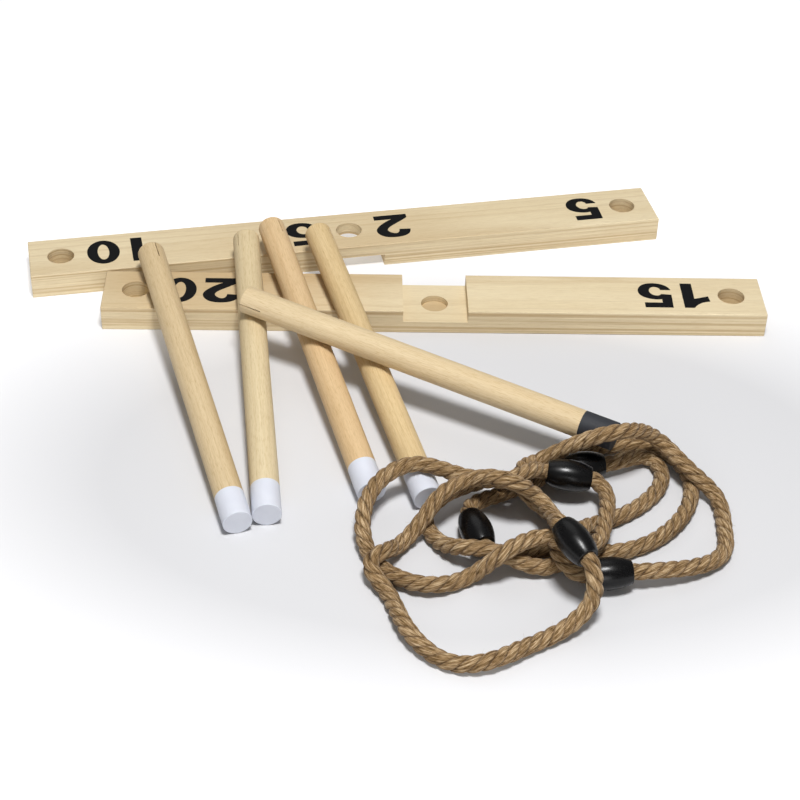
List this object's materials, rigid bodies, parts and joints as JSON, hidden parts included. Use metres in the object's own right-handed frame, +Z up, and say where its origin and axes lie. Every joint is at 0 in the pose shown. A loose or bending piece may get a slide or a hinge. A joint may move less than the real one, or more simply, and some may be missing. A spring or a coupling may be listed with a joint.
{
  "type": "ring toss set",
  "caption": "Wooden ring toss set laid out unassembled: crossing scored beams with peg sockets, painted dowel pegs and a heap of joined natural rope rings.",
  "frame": {"origin": "centre of the under beam's underside, on the floor", "axes": "+X along the under beam towards its score 15, +Z up, the pegs' painted tips lie towards -Y"},
  "size_m": [0.6785, 0.6363, 0.0696],
  "materials": {
    "pine": "planed, unvarnished",
    "peg_wood": "turned, unvarnished",
    "ink": "flat black printing ink",
    "white_paint": "satin white paint",
    "black_paint": "matt black paint",
    "natural_rope": "laid natural fibre",
    "sleeve_plastic": "glossy black"
  },
  "bodies": {
    "under_beam": {"under_beam": "pine", "score_20": "ink", "score_15": "ink"},
    "over_beam": {"over_beam": "pine", "score_10": "ink", "score_25": "ink", "score_5": "ink"},
    "peg_1": {"peg_1": "peg_wood", "peg_coat_1": "white_paint"},
    "peg_2": {"peg_2": "peg_wood", "peg_coat_2": "white_paint"},
    "peg_3": {"peg_3": "peg_wood", "peg_coat_3": "white_paint"},
    "peg_4": {"peg_4": "peg_wood", "peg_coat_4": "white_paint"},
    "centre_peg": {"peg_5": "peg_wood", "peg_coat_5": "black_paint"},
    "ring_1": {"rope_1": "natural_rope", "sleeve_1": "sleeve_plastic"},
    "ring_2": {"rope_2": "natural_rope", "sleeve_2": "sleeve_plastic"},
    "ring_3": {"rope_3": "natural_rope", "sleeve_3": "sleeve_plastic"},
    "ring_4": {"rope_4": "natural_rope", "sleeve_4": "sleeve_plastic"},
    "ring_5": {"rope_5": "natural_rope", "sleeve_5": "sleeve_plastic"}
  },
  "joints": [
    {"name": "over_beam_slide", "type": "slide", "parent": "under_beam", "child": "over_beam", "axis": [-0.184, 0.9829, 0], "range_m": [0, 0.12]},
    {"name": "peg_1_slide", "type": "slide", "parent": "under_beam", "child": "peg_1", "axis": [-0.2729, 0.9581, 0.0872], "range_m": [0, 0.36]},
    {"name": "peg_2_slide", "type": "slide", "parent": "under_beam", "child": "peg_2", "axis": [-0.0902, 0.9916, 0.0924], "range_m": [0, 0.36]},
    {"name": "peg_4_slide", "type": "slide", "parent": "under_beam", "child": "peg_4", "axis": [-0.2693, 0.9582, 0.0967], "range_m": [0, 0.2]},
    {"name": "peg_3_lift", "type": "slide", "parent": "under_beam", "child": "peg_3", "axis": [0, 0, 1], "range_m": [0, 0.08]},
    {"name": "ring_1_lift", "type": "slide", "parent": "peg_3", "child": "ring_1", "axis": [0, 0, 1], "range_m": [0, 0.08]},
    {"name": "ring_2_lift", "type": "slide", "parent": "ring_1", "child": "ring_2", "axis": [0, 0, 1], "range_m": [0, 0.08]},
    {"name": "centre_peg_lift", "type": "slide", "parent": "ring_2", "child": "centre_peg", "axis": [0, 0, 1], "range_m": [0, 0.08]},
    {"name": "ring_3_lift", "type": "slide", "parent": "centre_peg", "child": "ring_3", "axis": [0, 0, 1], "range_m": [0, 0.08]},
    {"name": "ring_4_lift", "type": "slide", "parent": "ring_3", "child": "ring_4", "axis": [0, 0, 1], "range_m": [0, 0.08]},
    {"name": "ring_5_lift", "type": "slide", "parent": "ring_4", "child": "ring_5", "axis": [0, 0, 1], "range_m": [0, 0.08]}
  ]
}
